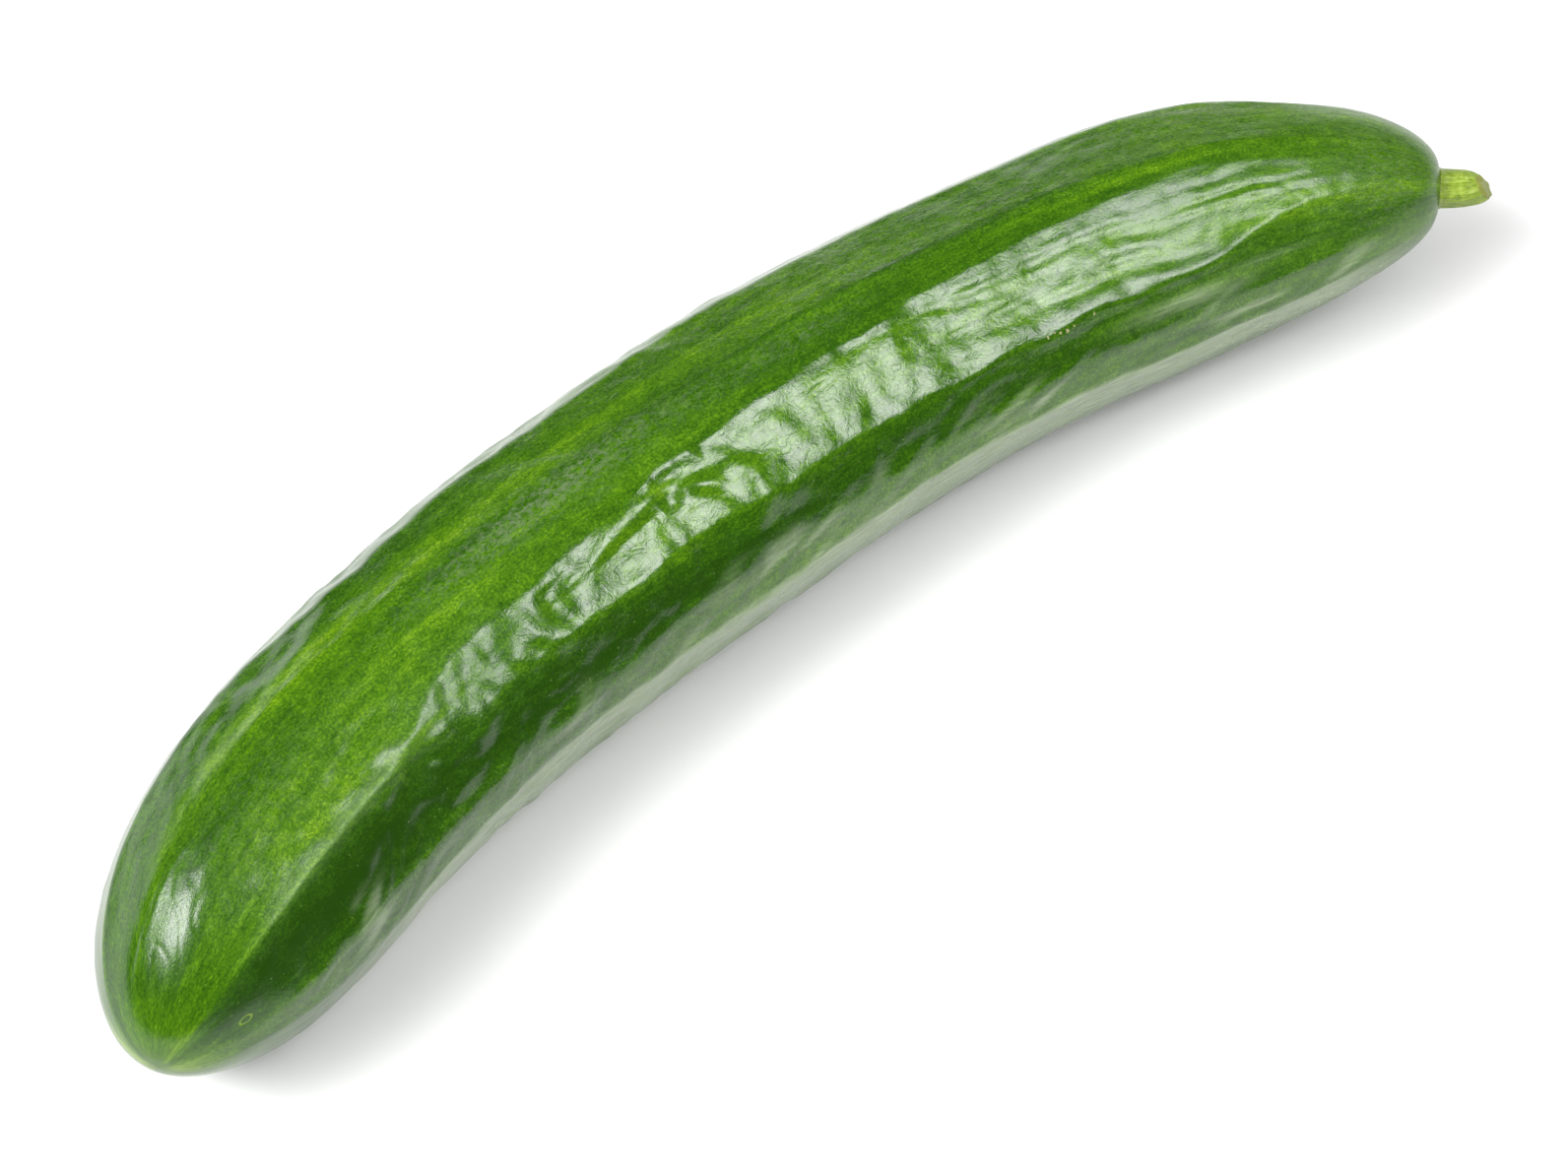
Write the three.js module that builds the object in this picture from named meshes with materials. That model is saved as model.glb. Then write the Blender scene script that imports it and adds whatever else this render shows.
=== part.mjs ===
import * as THREE from "three";

// A long, smooth-skinned slicing cucumber, whole and uncut, lying on its side as picked.
// Millimetres, +Z up. +X runs from the blossom end to the stem end, the bow lies in the level
// plane with its hollow side towards -Y, and the fruit rests on z = 0.

// ---- the centre line ----
const CHORD = 285; // straight distance from the blossom end to the stem end
const BOW = 34.5; // how far the middle of the centre line stands off that chord
const BOW_FULLNESS = 18.4; // extra bow half way out to each end
const BOW_TIPS = 4; // extra bow close to the ends
const BOW_LEAN = 1; // how much more the stem half is bowed than the blossom half

// ---- the girth ----
const GIRTH = [26, 23.4, 24.6, 31.8, 21.4, 21.8, 26.8]; // radii that steer it, blossom end first
const BLOSSOM_END_LENGTH = 60; // how far the blossom end takes to reach its full girth
const STEM_END_LENGTH = 86; // the same for the stem end
const BLUNTNESS = 1.6; // above 1 the ends are fuller
const PRESSED_FLAT = 0.4; // how much of the underside is pressed flat where it lies

// ---- the hollow round the stem ----
const HOLLOW_DEPTH = 2.4;
const HOLLOW_RADIUS = 5.5;

// ---- the stem ----
const STEM_LENGTH = 8.6;
const STEM_RADIUS = 3.5; // at its root
const STEM_TAPER = 0.54; // share of the radius left at the cut end
const STEM_DROOP = 3; // degrees below level where it leaves the fruit
const STEM_CURL = 1.2; // how far its cut end curls back up
const STEM_RIBS = 5;
const STEM_RIB_HEIGHT = 0.25;
const STEM_CUT_SLANT = 0.8; // how far the cut end leans, as a share of its height
const STEM_CLEARANCE = 0.3; // between the stem's root and the skin

// ---- how finely the surfaces are divided ----
const FRUIT_AROUND = 44;
const FRUIT_ALONG = 60;
const STEM_AROUND = 20;
const STEM_ALONG = 6;

const UP = new THREE.Vector3(0, 0, 1);

// The line down the middle of the fruit, level, seen from above as a shallow bow.
class CentreLine extends THREE.Curve {
  getPoint(parameter, target = new THREE.Vector3()) {
    const along = 2 * parameter - 1; // -1 at the blossom end, +1 at the stem end
    const lean = BOW_LEAN * (along + along ** 3);
    const stand = BOW + BOW_FULLNESS * along ** 2 + BOW_TIPS * along ** 4 + lean;
    return target.set((CHORD / 2) * along, (1 - along ** 2) * stand, 0);
  }
}

const centreLine = new CentreLine();
centreLine.arcLengthDivisions = 1000;
const centreLength = centreLine.getLength();

// The smooth curve steered by a list of values: the Bezier polynomial with those control values.
function steeredBy(values, share) {
  let row = values;
  while (row.length > 1) {
    row = row.slice(1).map((value, i) => THREE.MathUtils.lerp(row[i], value, share));
  }
  return row[0];
}

// Rises from 0 at the very end as a round nose does, and levels off at 1 over about `length`.
function roundEnd(distance, length) {
  const steepness = (2 * distance) / length;
  return Math.tanh(steepness ** BLUNTNESS) ** (0.5 / BLUNTNESS);
}

// The fruit's section at a share of the way along: its centre, direction, side and radius.
function sectionAt(share) {
  const girth = steeredBy(GIRTH, share);
  const fromBlossom = share * centreLength;
  const fromStem = (1 - share) * centreLength;
  const radius =
    girth * roundEnd(fromBlossom, BLOSSOM_END_LENGTH) * roundEnd(fromStem, STEM_END_LENGTH);
  const ahead = centreLine.getTangentAt(share).normalize();
  const side = new THREE.Vector3().crossVectors(UP, ahead);
  const nearStem = share > 0.5 ? 1 : 0;
  const hollow = nearStem * HOLLOW_DEPTH * Math.exp(-((radius / HOLLOW_RADIUS) ** 2));
  const centre = centreLine.getPointAt(share);
  centre.z = girth - PRESSED_FLAT;
  centre.addScaledVector(ahead, -hollow);
  return { centre, ahead, side, radius };
}

// Moves every corner of a geometry by a rule that is given the corner and changes it.
function reshape(geometry, rule) {
  const position = geometry.getAttribute("position");
  const corner = new THREE.Vector3();
  for (let i = 0; i < position.count; i += 1) {
    corner.fromBufferAttribute(position, i);
    rule(corner);
    position.setXYZ(i, corner.x, corner.y, corner.z);
  }
  geometry.computeVertexNormals();
  return geometry;
}

// A ball drawn out along the centre line: its height gives the place along, its longitude the
// place around the section, and its pole at +Y becomes the stem end.
function makeFruit() {
  const ball = new THREE.SphereGeometry(1, FRUIT_AROUND, FRUIT_ALONG);
  reshape(ball, (corner) => {
    const turn = Math.atan2(corner.z, -corner.x);
    const share = THREE.MathUtils.clamp((corner.y + 1) / 2, 0, 1);
    const { centre, side, radius } = sectionAt(share);
    corner.copy(centre);
    corner.addScaledVector(side, radius * Math.cos(turn));
    corner.addScaledVector(UP, radius * Math.sin(turn));
    corner.z = Math.max(corner.z, 0);
  });
  const skin = new THREE.MeshStandardMaterial({ color: 0x3f7d23, roughness: 0.3, metalness: 0 });
  const mesh = new THREE.Mesh(ball, skin);
  mesh.name = "fruit";
  return mesh;
}

// A short ribbed stub, curling up and narrowing to a slanted cut. It is built along +Y from its
// root at the origin, with +Z as its upper side.
function makeStem() {
  const stub = new THREE.CylinderGeometry(1, 1, 1, STEM_AROUND, STEM_ALONG);
  reshape(stub, (corner) => {
    const out = Math.hypot(corner.x, corner.z);
    const turn = Math.atan2(corner.x, corner.z);
    const share = corner.y + 0.5;
    const taper = THREE.MathUtils.lerp(1, STEM_TAPER, share ** 2);
    const rib = STEM_RIB_HEIGHT * Math.cos(STEM_RIBS * turn);
    const radius = out * (STEM_RADIUS * taper + rib);
    const height = radius * Math.cos(turn);
    const slant = share * STEM_CUT_SLANT * height;
    const curl = STEM_CURL * share ** 2;
    corner.set(radius * Math.sin(turn), share * STEM_LENGTH - slant, height + curl);
  });
  const stalk = new THREE.MeshStandardMaterial({ color: 0xb4c850, roughness: 0.5, metalness: 0 });
  const mesh = new THREE.Mesh(stub, stalk);
  mesh.name = "stem";
  return mesh;
}

// The stem stands in the hollow at the end of the centre line and droops a little.
function placeStem(stem) {
  const { centre, ahead, side } = sectionAt(1);
  const direction = ahead.clone().applyAxisAngle(side, THREE.MathUtils.degToRad(STEM_DROOP));
  const across = side.clone().negate();
  const top = new THREE.Vector3().crossVectors(across, direction);
  const dip = STEM_RADIUS * Math.sin(THREE.MathUtils.degToRad(STEM_DROOP));
  stem.quaternion.setFromRotationMatrix(new THREE.Matrix4().makeBasis(across, direction, top));
  stem.position.copy(centre).addScaledVector(direction, STEM_CLEARANCE + dip);
}

const fruit = makeFruit();
const stem = makeStem();
placeStem(stem);

const cucumber = new THREE.Group();
cucumber.add(fruit, stem);

// The origin is under the middle of the whole, on the surface it lies on.
const bounds = new THREE.Box3().setFromObject(cucumber, true);
const middle = bounds.getCenter(new THREE.Vector3());
cucumber.position.set(-middle.x, -middle.y, 0);

export default cucumber;
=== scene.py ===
import math

import bpy
import numpy as np
from bpy.props import FloatProperty, FloatVectorProperty, PointerProperty
from mathutils import Matrix, Vector


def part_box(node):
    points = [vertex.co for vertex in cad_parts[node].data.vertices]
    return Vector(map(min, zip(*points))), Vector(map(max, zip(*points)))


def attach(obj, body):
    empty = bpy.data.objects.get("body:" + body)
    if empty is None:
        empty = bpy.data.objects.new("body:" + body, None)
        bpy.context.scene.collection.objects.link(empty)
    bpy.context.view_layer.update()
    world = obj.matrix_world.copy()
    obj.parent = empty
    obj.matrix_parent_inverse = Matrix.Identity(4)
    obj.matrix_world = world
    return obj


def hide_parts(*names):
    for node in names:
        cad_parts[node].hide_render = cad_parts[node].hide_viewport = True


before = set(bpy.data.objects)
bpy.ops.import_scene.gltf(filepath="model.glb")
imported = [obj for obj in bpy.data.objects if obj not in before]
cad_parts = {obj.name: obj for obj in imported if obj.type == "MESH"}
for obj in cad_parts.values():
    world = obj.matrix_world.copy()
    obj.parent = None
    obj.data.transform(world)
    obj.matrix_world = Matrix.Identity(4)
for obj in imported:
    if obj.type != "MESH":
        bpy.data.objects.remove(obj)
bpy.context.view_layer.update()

bl_info = {
    "name": "Cucumber",
    "version": (1, 0, 0),
    "blender": (4, 5, 0),
    "location": "View3D > Sidebar > Cucumber",
    "description": "A whole slicing cucumber with its cut stem, lying on a pale studio floor",
    "category": "Add Mesh",
}

UP = np.array([0.0, 0.0, 1.0])
MM = 0.001

# ---- the fruit's build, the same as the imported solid's, in metres ----
CHORD = 0.285
BOW = 0.0345
BOW_FULLNESS = 0.0184
BOW_TIPS = 0.004
BOW_LEAN = 0.001
GIRTH = (0.026, 0.0234, 0.0246, 0.0318, 0.0214, 0.0218, 0.0268)
BLOSSOM_END_LENGTH = 0.060
STEM_END_LENGTH = 0.086
BLUNTNESS = 1.6
PRESSED_FLAT = 0.0004
HOLLOW_DEPTH = 0.0024
HOLLOW_RADIUS = 0.0055
MEAN_RADIUS = 0.0257

# ---- the middles of the zones of its skin, as turns about the centre line ----
FAR_SIDE = math.radians(33)
SHOULDER = math.radians(84)
UPPER_SIDE = math.radians(120)
LOW_SIDE = math.radians(162)
BACK_SIDE = math.radians(250)

# ---- the stem's build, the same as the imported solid's ----
STEM_LENGTH = 0.0086
STEM_RADIUS = 0.0035
STEM_DROOP = math.radians(3)
STEM_CURL = 0.0012
STEM_RIBS = 5
STEM_RIB_HEIGHT = 0.00025
STEM_CUT_SLANT = 0.8
STEM_CLEARANCE = 0.0003
# Only the finished stem has these: how far its rounded end reaches past the side, how deep its
# root is sunk in the skin, the widening of the root, the furrows, and the shape of the cut.
STEM_NOSE = 0.0011
STEM_SUNK = 0.0007
STEM_FLARE = 0.0004
STEM_FURROWS = 17
STEM_FURROW_DEPTH = 0.00007
STEM_NOTCHES = 5
STEM_NOTCH_DEPTH = 0.00022
STEM_DISH_DEPTH = 0.0003
STEM_SIDE_SHARE = 0.7  # the share of its rows that make the side; the others make the cut

# ---- how finely the surfaces are divided ----
FRUIT_ALONG = 440
FRUIT_AROUND = 224
STEM_ALONG = 56
STEM_AROUND = 120

# ---- the long ridges that divide the fruit's section into soft flats ----
# Each is how far it stands proud of a round section, as a share of the radius, and its turn in
# degrees (0 on the outside of the bow, 90 on top) at each of these shares of the length.
RIDGE_SHARES = (0.0, 0.21, 0.25, 0.29, 0.45, 0.53, 0.64, 0.82, 0.90, 1.0)
RIDGES = (
    (0.000, (-2, 16, 24, 28, 28, 28, 28, 26, 24, 24)),
    (0.004, (29, 38, 42, 45, 45, 45, 44, 46, 48, 48)),
    (0.000, (72, 70, 74, 76, 79, 80, 81, 84, 85, 85)),
    (0.000, (88, 87, 90, 92, 92, 91, 89, 89, 87, 86)),
    (0.000, (123.2, 123.4, 114, 107.5, 104, 101, 96, 93, 96, 99)),
    (0.002, (123.8, 124.2, 129, 134, 135, 135, 136, 135, 121, 114)),
    (0.020, (160, 160, 160, 160, 157, 157, 158, 160, 158, 158)),
    (0.010, (176, 176, 174, 174, 173, 172, 171, 176, 173, 172)),
    (0.000, (212, 212, 212, 212, 212, 212, 212, 212, 212, 212)),
    (0.000, (241, 243, 243, 243, 245, 243, 241, 243, 243, 243)),
    (0.000, (275, 275, 275, 275, 275, 275, 275, 275, 275, 275)),
    (0.000, (308, 306, 308, 308, 310, 308, 306, 308, 308, 308)),
    (0.000, (345, 345, 345, 346, 348, 350, 348, 347, 345, 345)),
)
RIDGE_SHARPNESS = 400  # the power of the mean that rounds the ridges off
BLOSSOM_SHARPNESS = 1.7  # how many times sharper they are near the blossom end
# Each ridge wanders by these degrees at these lengths in metres.
RIDGE_WANDERS = ((1.0, 0.060), (2.0, 0.014), (0.8, 0.0055), (0.30, 0.0022))
REFLECTION_RIDGE = 7  # the ridge at which the band of painted floor reflection begins

# Values given at a few shares of the length are averaged over these shifts, so that they turn
# softly from one to the next.
EASING = np.linspace(-0.02, 0.02, 9)

# ---- how the two sides rise and fall ----
# The middle of the side in degrees, its half width, and the height in millimetres at each share.
SWELLS = (
    (32, 30,
     (0.0, 0.04, 0.07, 0.10, 0.13, 0.17, 0.22, 0.26, 0.30, 0.34, 0.40, 0.44, 0.50,
      0.54, 0.60, 0.66, 0.70, 0.74, 0.79, 0.83, 0.87, 0.91, 0.94, 0.96, 1.0),
     (0.0, -0.28, -0.50, -0.52, 0.10, 0.68, 0.50, -0.10, 0.30, 0.50, 0.13, 0.37, 0.74,
      0.68, 0.30, 0.12, -0.26, -0.10, 0.47, 0.80, 0.35, -0.72, 0.13, 0.50, 0.0)),
    (211, 34,
     (0.0, 0.03, 0.06, 0.10, 0.15, 0.20, 0.25, 0.29, 0.34, 0.40, 0.44, 0.48, 0.52,
      0.56, 0.61, 0.65, 0.68, 0.74, 0.80, 0.82, 0.87, 0.90, 0.95, 0.98, 1.0),
     (0.0, 0.40, 0.10, -0.13, 0.28, -0.09, -0.07, 0.30, -0.08, -0.15, -0.02, 0.20, 0.0,
      -0.32, -0.25, -0.05, -0.42, -0.12, 0.17, 0.15, -0.40, -0.42, 0.0, 0.25, 0.0)),
)

# ---- thin creases along the fruit ----
# From share, to share, turn there in degrees, turn at the far end, width and depth in millimetres.
GROOVES = (
    (0.19, 0.46, 124.0, 113.5, 0.9, 0.15),
    (0.33, 0.365, 113.5, 112.0, 0.8, 0.20),
    (0.41, 0.465, 111.0, 110.5, 0.9, 0.22),
    (0.535, 0.565, 109.0, 109.0, 0.8, 0.22),
    (0.55, 0.81, 102.0, 105.5, 1.1, 0.20),
    (0.59, 0.70, 117.5, 116.5, 0.8, 0.10),
    (0.66, 0.84, 123.5, 130.0, 1.2, 0.20),
    (0.66, 0.73, 109.5, 113.5, 0.9, 0.13),
    (0.79, 0.94, 114.0, 111.0, 0.9, 0.16),
    (0.81, 0.91, 107.0, 105.5, 0.8, 0.12),
    (0.28, 0.80, 79.0, 84.0, 1.3, 0.16),
    (0.02, 0.12, 62.0, 76.0, 0.8, -0.20),
    (0.15, 0.62, 30.0, 26.0, 1.1, 0.16),
    (0.35, 0.85, 232.0, 228.0, 1.2, 0.18),
    (0.12, 0.58, 292.0, 297.0, 1.2, 0.18),
    (0.45, 0.90, 325.0, 322.0, 1.1, 0.16),
)

# ---- the skin's unevenness ----
# Each is the length of one wave in metres, how many go round the section, and a seed.
PUSHED_ALONG = (0.009, 18, 11)
PUSHED_AROUND = (0.009, 18, 12)
KNOTS = (0.0058, 34, 13)
FOLDS = (0.0140, 60, 14)
SMALL_LUMPS = (0.0017, 92, 15)
CREASES = (0.0052, 34, 16)
CREASED_PLACES = (0.011, 11, 17)
LUMPS = (0.0031, 46, 19)
PATCHES = (0.03, 7, 21)
MANY_TIP_CREASES = (0.012, 46, 31)
FEW_TIP_CREASES = (0.02, 17, 32)
SHOULDER_CRACKS = (0.0034, 52, 33)
WIDE_STREAKS = (0.055, 26, 51)
NARROW_STREAKS = (0.030, 60, 52)
TIP_STREAKS = (0.02, 20, 53)
REFLECTION_EDGE = (0.012, 12, 61)
REFLECTION_CLUMPS = (0.012, 14, 63)
# Strands: their width and length in metres, and a seed.
FIBRES = (0.0019, 0.0075, 18)
REFLECTION_STROKES = (0.0014, 0.0062, 62)
STRAND_CLIMB = 0.30  # how far a strand moves round the skin for its distance along
GROOVE_WOBBLE = 0.008  # the length of the wobbles of the thin creases, in metres

# ---- broad light and dark areas of the skin ----
# Centre share, centre turn in degrees, half length as a share, half width in degrees, strength.
# Most of these are the skin's own greens, but the thin dark line at turn 79 is painted shade along
# the crease there, and the thin pale line at turn 147 near the stem end is part of a painted
# highlight.
TONE_AREAS = (
    (0.20, 66, 0.12, 9, 0.20),
    (0.10, 60, 0.07, 8, 0.14),
    (0.33, 70, 0.10, 8, 0.12),
    (0.24, 90, 0.09, 15, 0.12),
    (0.14, 112, 0.12, 9, 0.10),
    (0.13, 123, 0.13, 1.6, 0.22),
    (0.04, 31, 0.06, 3.0, 0.30),
    (0.12, 140, 0.14, 13, -0.36),
    (0.42, 147, 0.28, 10, -0.40),
    (0.76, 150, 0.18, 9, -0.12),
    (0.55, 79, 0.26, 2.0, -0.20),
    (0.77, 88, 0.07, 2.2, 0.26),
    (0.78, 147, 0.13, 2.2, 0.16),
    (0.295, 94, 0.018, 2.5, 0.12),
    (0.40, 68, 0.12, 7, 0.10),
    (0.30, 235, 0.16, 12, 0.16),
    (0.62, 300, 0.18, 10, 0.14),
    (0.22, 330, 0.12, 9, 0.18),
)

# ---- greyish patches of painted sheen, given as the tone's areas are ----
PAINTED_SHEEN_AREAS = (
    (0.13, 92, 0.06, 16, 0.3),
    (0.19, 118, 0.03, 8, 0.4),
    (0.38, 84, 0.09, 7, 1.3),
    (0.55, 88, 0.05, 5, 0.5),
    (0.62, 70, 0.10, 8, 0.5),
    (0.74, 73, 0.08, 8, 0.6),
    (0.85, 56, 0.10, 12, 0.8),
    (0.60, 52, 0.14, 8, 0.6),
    (0.96, 110, 0.04, 50, 0.6),
    (0.30, 164, 0.30, 6, 0.6),
)

# ---- where the gloss is broken up by a fine grain, given the same way ----
DULL_AREAS = (
    (0.10, 100, 0.14, 60, 0.15),
    (0.065, 82, 0.045, 26, 0.9),
    (0.14, 123.4, 0.08, 4.0, 4.0),
    (0.27, 118, 0.06, 16, 2.0),
)

# ---- whitish patches of painted highlight near the stem end, given the same way ----
PAINTED_HIGHLIGHT_AREAS = (
    (0.80, 149, 0.040, 3.5, 0.40),
    (0.86, 143, 0.030, 2.0, 0.15),
)

# ---- small dried marks: share, turn in degrees, and radius in millimetres ----
SCABS = (
    (0.667, 94.0, 0.40), (0.670, 93.2, 0.30), (0.650, 107.0, 0.45), (0.653, 106.2, 0.30),
    (0.712, 137.5, 0.50), (0.708, 137.0, 0.35), (0.699, 136.5, 0.38), (0.704, 136.0, 0.30),
    (0.739, 96.5, 0.42), (0.742, 97.2, 0.32), (0.734, 136.0, 0.35), (0.705, 170.0, 0.40),
    (0.690, 95.5, 0.30), (0.725, 95.0, 0.34), (0.605, 98.0, 0.34), (0.718, 137.0, 0.30),
)
DARK_SCABS = (
    (0.647, 169.0, 0.60), (0.597, 171.5, 0.70), (0.683, 167.5, 0.45), (0.837, 176.0, 0.45),
    (0.868, 175.0, 0.40), (0.42, 305.0, 0.60), (0.66, 255.0, 0.50),
)
# A thin pale ring: share and turn of its middle, and the four distances from it, in metres, at
# which the ring begins, is full, is still full, and ends.
RING_SCAR = (0.0334, 149.5)
RING_EDGES = (0.00075, 0.00100, 0.00105, 0.00130)


# ---------------------------------------------------------------- shape helpers

def bezier(values, share):
    """The Bezier polynomial with these control values, at each share from 0 to 1."""
    last = len(values) - 1
    terms = (
        math.comb(last, i) * share**i * (1 - share) ** (last - i) * value
        for i, value in enumerate(values)
    )
    return sum(terms)


def round_end(distance, length):
    """Rises from 0 at the very end as a round nose does and levels off at 1: the tanh of a
    power of the distance, taken to half the inverse of that power."""
    return np.tanh((2 * distance / length) ** BLUNTNESS) ** (0.5 / BLUNTNESS)


def bow_points(along):
    """The bowed centre line: a parabola over the chord, made fuller by even powers and leaned
    by odd ones, with along from -1 at the blossom end to +1 at the stem end."""
    lean = BOW_LEAN * (along + along**3)
    stand = BOW + BOW_FULLNESS * along**2 + BOW_TIPS * along**4 + lean
    return CHORD / 2 * along, (1 - along**2) * stand


ALONG = np.linspace(-1, 1, 4001)
LINE_X, LINE_Y = bow_points(ALONG)
LINE_STEPS = np.hypot(np.diff(LINE_X), np.diff(LINE_Y))
LINE_LENGTHS = np.concatenate(([0.0], np.cumsum(LINE_STEPS)))
CENTRE_LENGTH = LINE_LENGTHS[-1]
LINE_TURN = np.arctan2(np.gradient(LINE_Y, ALONG), np.gradient(LINE_X, ALONG))


def section(share):
    """Centre, direction, side and radius of the fruit's section at each share of the length:
    the centre runs along the bowed line at the height of the girth, and the radius is the
    girth rounded off at both ends."""
    distance = share * CENTRE_LENGTH
    girth = bezier(GIRTH, share)
    from_stem = np.maximum(CENTRE_LENGTH - distance, 0)
    radius = girth * round_end(distance, BLOSSOM_END_LENGTH) * round_end(from_stem, STEM_END_LENGTH)
    heading = np.interp(distance, LINE_LENGTHS, LINE_TURN)
    ahead = np.stack([np.cos(heading), np.sin(heading), 0 * heading], -1)
    side = np.stack([-np.sin(heading), np.cos(heading), 0 * heading], -1)
    hollow = (share > 0.5) * HOLLOW_DEPTH * np.exp(-((radius / HOLLOW_RADIUS) ** 2))
    centre = np.stack([
        np.interp(distance, LINE_LENGTHS, LINE_X),
        np.interp(distance, LINE_LENGTHS, LINE_Y),
        girth - PRESSED_FLAT,
    ], -1)
    return centre - ahead * hollow[..., None], ahead, side, radius


def spline_weights(part):
    """The four uniform cubic B-spline weights at this part of the way between two knots."""
    return (
        (1 - part) ** 3 / 6,
        (3 * part**3 - 6 * part**2 + 4) / 6,
        (-3 * part**3 + 3 * part**2 + 3 * part + 1) / 6,
        part**3 / 6,
    )


def waves(along, turn, length, count, seed):
    """Smooth unevenness over the skin: a cubic B-spline surface through random heights on a
    lattice with a knot every `length` metres along and `count` knots round the section, which
    closes on itself. It swings between about -1 and 1."""
    rows = int(CENTRE_LENGTH / length) + 12
    heights = np.random.default_rng(seed).uniform(-1.7, 1.7, (rows, count))
    row = np.clip(along / length + 4, 0, rows - 5)
    column = turn / (2 * math.pi) * count
    first_row, first_column = np.floor(row).astype(int), np.floor(column).astype(int)
    total = 0.0
    across_weights = spline_weights(column - first_column)
    for i, weight in enumerate(spline_weights(row - first_row)):
        for j, across in enumerate(across_weights):
            total = total + weight * across * heights[first_row + i, (first_column + j) % count]
    return total


def rise(value, low, high):
    """0 below low, 1 above high, and a smooth S between them."""
    part = np.clip((value - low) / (high - low), 0, 1)
    return part * part * (3 - 2 * part)


def window(value, start, full, fade, gone):
    """Rises from 0 at start to 1 at full, and falls again from fade to gone."""
    return rise(value, start, full) * (1 - rise(value, fade, gone))


def hump(value, centre, half_width):
    """A bell of height 1 at the centre."""
    return np.exp(-(((value - centre) / half_width) ** 2))


def degrees_apart(turn, other):
    """Signed difference of two turns in degrees, between -180 and 180."""
    return (turn - other + 180) % 360 - 180


# ---------------------------------------------------------------- the fruit's relief

def eased(share, shares, values):
    """The values at these shares joined by straight lines whose corners are rounded off: the
    mean of the lines over a short stretch to both sides."""
    total = 0.0
    for shift in EASING:
        total = total + np.interp(share + shift, shares, values)
    return total / len(EASING)


def flats(share, turn):
    """The soft polygon that the ridges make of a round section, as a share of the radius: the
    power mean of the distances to the flats, whose corners are the wandering ridges. They are
    sharper near the blossom end."""
    distance = share * CENTRE_LENGTH
    corners = []
    for k, (proud, turns) in enumerate(RIDGES):
        degrees = eased(share, RIDGE_SHARES, turns)
        for i, (swing, length) in enumerate(RIDGE_WANDERS):
            wander = waves(distance, 0 * distance, length, 1, 100 * i + k)
            degrees = degrees + swing * wander * (0.15 + 0.85 * rise(share, 0.20, 0.30))
        angle = np.radians(degrees)
        corners.append(((1 + proud) * np.cos(angle), (1 + proud) * np.sin(angle)))
    extra = (BLOSSOM_SHARPNESS - 1) * (1 - rise(share, 0.14, 0.22))
    sharpness = RIDGE_SHARPNESS * (1 + extra)
    total = 0.0
    for k, (x0, y0) in enumerate(corners):
        x1, y1 = corners[(k + 1) % len(corners)]
        edge = np.hypot(x1 - x0, y1 - y0)
        normal_x, normal_y = (y1 - y0) / edge, (x0 - x1) / edge
        reach = normal_x * x0 + normal_y * y0
        toward = np.maximum(normal_x * np.cos(turn) + normal_y * np.sin(turn), 0)
        total = total + (toward / reach) ** sharpness
    return total ** (-1 / sharpness)


def groove_depth(share, turn, radius):
    """The creases, in metres: across each line the skin steps down between two soft lips, as a
    bell times the distance from the line does, faded in and out at its ends."""
    degrees = np.degrees(turn)
    total = 0.0
    for k, (start, stop, first, last, width, depth) in enumerate(GROOVES):
        part = (share - start) / (stop - start)
        wobble = 0.9 * waves(share * CENTRE_LENGTH, 0 * share, GROOVE_WOBBLE, 1, 80 + k)
        line = first + (last - first) * part + wobble
        across = np.radians(degrees_apart(degrees, line)) * radius / (width * MM)
        faded = window(part, 0, 0.2, 0.8, 1)
        total = total + depth * MM * faded * across * np.exp(-(across**2))
    return total


def valleys(heights, width):
    """The same unevenness folded over so that it has creases of this width where it was
    level, about as far above 0 as below."""
    return np.sqrt(heights**2 + width**2) - 0.4


def strands(distance, turn, width, length, seed):
    """Long strokes about as wide and as long as given, which run along the fruit and climb
    a little towards the stem end."""
    across = MEAN_RADIUS * turn + STRAND_CLIMB * distance
    return waves(across, distance / length * 2 * math.pi / 40, width, 40, seed)


def puckers(share, turn):
    """The uneven, cross-wrinkled skin, in metres: lumps near the start, knots with creases
    between them in the middle, and long folds further on, all laid out on places that are
    themselves pushed about by slower waves, and slanting fibres low on the hollow side."""
    distance = share * CENTRE_LENGTH
    pushed = distance + 0.0030 * waves(distance, turn, *PUSHED_ALONG)
    turned = turn + 0.12 * waves(distance, turn, *PUSHED_AROUND)
    knots = waves(pushed, turned, *KNOTS)
    creases = valleys(waves(pushed, turned, *CREASES), 0.14)
    creased = rise(waves(distance, turn, *CREASED_PLACES), -0.45, 0.25)
    lumps = waves(pushed, turned, *LUMPS)
    small = waves(pushed, turned, *SMALL_LUMPS)
    folds = valleys(waves(pushed, turned, *FOLDS), 0.12)
    fibres = valleys(strands(distance, turned, *FIBRES), 0.10)
    patchy = 0.8 + 0.35 * waves(distance, turn, *PATCHES)

    upper = 0.10 + 0.76 * hump(turn, UPPER_SIDE, 0.50) + 0.20 * hump(turn, BACK_SIDE, 1.0)
    upper = upper + 0.42 * hump(turn, FAR_SIDE, 0.30)
    start = window(share, 0.08, 0.22, 0.40, 0.60) * upper
    middle = window(share, 0.14, 0.28, 0.46, 0.70) * patchy * upper
    further = window(share, 0.40, 0.60, 0.84, 0.95) * upper
    low = hump(turn, LOW_SIDE, 0.24) * window(share, 0.02, 0.12, 0.86, 0.98)
    low = low * (0.48 - 0.16 * rise(share, 0.25, 0.40))

    knotted = (0.09 + 0.95 * middle) * (0.72 * knots + 0.44 * lumps + 0.44 * creased * creases)
    fine = (0.04 + 0.12 * start + 0.11 * middle + 0.05 * further) * small
    folded = 0.40 * further * folds
    return MM * (knotted + fine + 0.30 * start * lumps + folded + low * fibres)


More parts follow.
